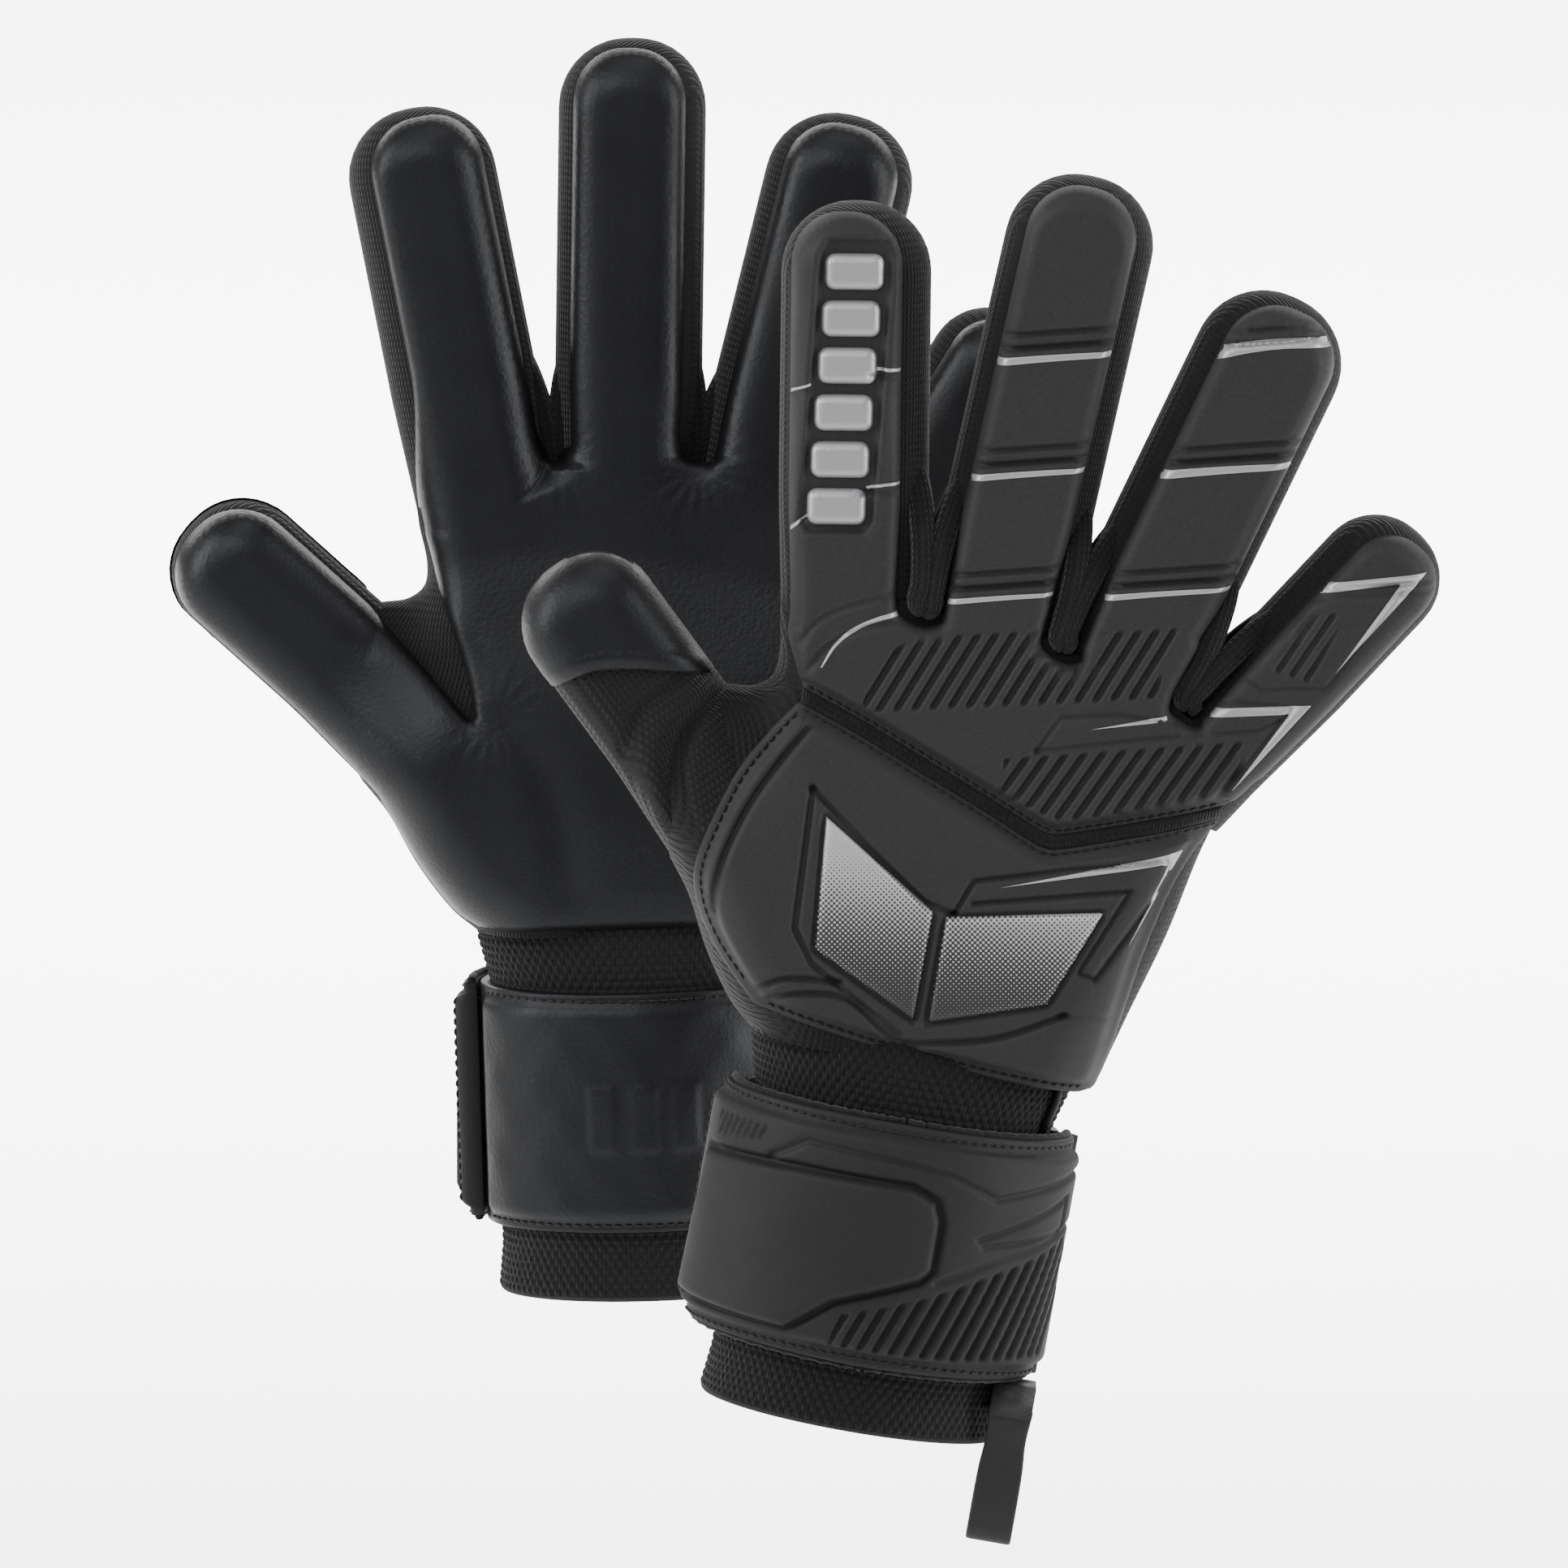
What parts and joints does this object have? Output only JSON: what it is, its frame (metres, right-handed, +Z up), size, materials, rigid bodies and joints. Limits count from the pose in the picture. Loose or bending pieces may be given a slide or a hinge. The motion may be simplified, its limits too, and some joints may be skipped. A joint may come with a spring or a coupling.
{
  "type": "goalkeeper gloves",
  "caption": "Pair of padded goalkeeper gloves with latex palms, moulded backhands, ribbed knit gussets, knit cuffs, wraparound wrist straps and pull loops.",
  "frame": {"origin": "middle of the right glove's hand opening, at the foot of its cuff", "axes": "+Z up through the fingertips, +X across the backhand to the right glove's little finger side, +Y from the right glove's backhand through its palm towards the left glove"},
  "size_m": [0.2816, 0.217, 0.3133],
  "materials": {
    "palm_latex": "satin foam latex, near black",
    "backhand_foam": "matt moulded foam, charcoal",
    "gusset_knit": "fine ribbed knit, black",
    "cuff_knit": "honeycomb elastic knit, black",
    "strap_foam": "matt moulded foam, charcoal",
    "lining_fabric": "brushed lining, black",
    "stretch_knit": "ribbed elastic, black",
    "hook_and_loop": "hook and loop tape, black",
    "edge_binding": "folded binding, black",
    "pull_band": "flat moulded band, charcoal",
    "silver_trim": "silver print with a fine grain"
  },
  "bodies": {
    "right_hand": {"right_palm_latex": "palm_latex", "right_hand_lining": "lining_fabric", "right_knuckle_panel": "backhand_foam", "right_stretch_band": "stretch_knit", "right_backhand_panel": "backhand_foam", "right_side_gusset": "gusset_knit", "right_thumb_web": "gusset_knit", "right_cuff": "cuff_knit", "right_cuff_slit_binding": "edge_binding", "right_palm_strap": "palm_latex", "right_strap_loop_tape": "hook_and_loop", "right_pull_loop_tab": "pull_band"},
    "right_index": {"right_index_latex": "palm_latex", "right_index_gusset": "gusset_knit", "right_index_back_pad": "backhand_foam"},
    "right_middle": {"right_middle_latex": "palm_latex", "right_middle_gusset": "gusset_knit", "right_middle_back_pad": "backhand_foam"},
    "right_ring": {"right_ring_latex": "palm_latex", "right_ring_gusset": "gusset_knit", "right_ring_back_pad": "backhand_foam"},
    "right_little": {"right_little_latex": "palm_latex", "right_little_gusset": "gusset_knit", "right_little_back_pad": "backhand_foam"},
    "right_thumb": {"right_thumb_latex": "palm_latex", "right_thumb_knit_back": "gusset_knit"},
    "right_strap": {"right_back_strap": "strap_foam", "right_strap_hook_tape": "hook_and_loop"},
    "right_loop": {"right_pull_loop": "pull_band"},
    "left_hand": {"left_palm_latex": "palm_latex", "left_hand_lining": "lining_fabric", "left_knuckle_panel": "backhand_foam", "left_stretch_band": "stretch_knit", "left_backhand_panel": "backhand_foam", "left_side_gusset": "gusset_knit", "left_thumb_web": "gusset_knit", "left_cuff": "cuff_knit", "left_cuff_slit_binding": "edge_binding", "left_palm_strap": "palm_latex", "left_strap_loop_tape": "hook_and_loop", "left_pull_loop_tab": "pull_band"},
    "left_index": {"left_index_latex": "palm_latex", "left_index_gusset": "gusset_knit", "left_index_back_pad": "backhand_foam"},
    "left_middle": {"left_middle_latex": "palm_latex", "left_middle_gusset": "gusset_knit", "left_middle_back_pad": "backhand_foam"},
    "left_ring": {"left_ring_latex": "palm_latex", "left_ring_gusset": "gusset_knit", "left_ring_back_pad": "backhand_foam"},
    "left_little": {"left_little_latex": "palm_latex", "left_little_gusset": "gusset_knit", "left_little_back_pad": "backhand_foam"},
    "left_thumb": {"left_thumb_latex": "palm_latex", "left_thumb_knit_back": "gusset_knit"},
    "left_strap": {"left_back_strap": "strap_foam", "left_strap_hook_tape": "hook_and_loop"},
    "left_loop": {"left_pull_loop": "pull_band"}
  },
  "joints": [
    {"name": "right_index_bend", "type": "hinge", "parent": "right_hand", "child": "right_index", "pos_m": [0.00087, 0.006, 0.18059], "axis": [-0.9999, 0, 0.0122], "range_deg": [0, 65], "stiffness_Nm_per_rad": 0.08},
    {"name": "right_middle_bend", "type": "hinge", "parent": "right_hand", "child": "right_middle", "pos_m": [0.0316, 0.006, 0.17517], "axis": [-0.9759, 0, 0.2181], "range_deg": [0, 65], "stiffness_Nm_per_rad": 0.08},
    {"name": "right_ring_bend", "type": "hinge", "parent": "right_hand", "child": "right_ring", "pos_m": [0.05862, 0.006, 0.16432], "axis": [-0.9026, 0, 0.4305], "range_deg": [0, 65], "stiffness_Nm_per_rad": 0.08},
    {"name": "right_little_bend", "type": "hinge", "parent": "right_hand", "child": "right_little", "pos_m": [0.08047, 0.006, 0.14828], "axis": [-0.7314, 0, 0.682], "range_deg": [0, 65], "stiffness_Nm_per_rad": 0.08},
    {"name": "right_thumb_bend", "type": "hinge", "parent": "right_hand", "child": "right_thumb", "pos_m": [-0.02342, 0.006, 0.13207], "axis": [-0.809, 0, -0.5878], "range_deg": [0, 40], "stiffness_Nm_per_rad": 0.08},
    {"name": "right_strap_open", "type": "hinge", "parent": "right_hand", "child": "right_strap", "pos_m": [0.04469, 0, 0.03578], "axis": [0.1736, 0, 0.9848], "range_deg": [0, 100]},
    {"name": "right_loop_swing", "type": "hinge", "parent": "right_hand", "child": "right_loop", "pos_m": [0.0356, -0.0148, 0.00032], "axis": [-0.9848, 0, 0.1736], "range_deg": [0, 60]},
    {"name": "left_index_bend", "type": "hinge", "parent": "left_hand", "child": "left_index", "pos_m": [-0.08058, 0.144, 0.18095], "axis": [0.9813, 0, 0.1925], "range_deg": [0, 65], "stiffness_Nm_per_rad": 0.08},
    {"name": "left_middle_bend", "type": "hinge", "parent": "left_hand", "child": "left_middle", "pos_m": [-0.04939, 0.144, 0.18193], "axis": [0.9999, 0, -0.014], "range_deg": [0, 65], "stiffness_Nm_per_rad": 0.08},
    {"name": "left_ring_bend", "type": "hinge", "parent": "left_hand", "child": "left_ring", "pos_m": [-0.02072, 0.144, 0.17683], "axis": [0.9715, 0, -0.2368], "range_deg": [0, 65], "stiffness_Nm_per_rad": 0.08},
    {"name": "left_little_bend", "type": "hinge", "parent": "left_hand", "child": "left_little", "pos_m": [0.00395, 0.144, 0.1656], "axis": [0.8554, 0, -0.518], "range_deg": [0, 65], "stiffness_Nm_per_rad": 0.08},
    {"name": "left_thumb_bend", "type": "hinge", "parent": "left_hand", "child": "left_thumb", "pos_m": [-0.09444, 0.144, 0.12849], "axis": [0.6717, 0, 0.7408], "range_deg": [0, 40], "stiffness_Nm_per_rad": 0.08},
    {"name": "left_strap_open", "type": "hinge", "parent": "left_hand", "child": "left_strap", "pos_m": [-0.00807, 0.15, 0.04817], "axis": [0.0314, 0, -0.9995], "range_deg": [0, 100]},
    {"name": "left_loop_swing", "type": "hinge", "parent": "left_hand", "child": "left_loop", "pos_m": [-0.00972, 0.1648, 0.0116], "axis": [0.9995, 0, 0.0314], "range_deg": [0, 60]},
    {"name": "pair_spread", "type": "slide", "parent": "right_hand", "child": "left_hand", "axis": [0, 1, 0], "range_m": [0, 0.12]}
  ]
}
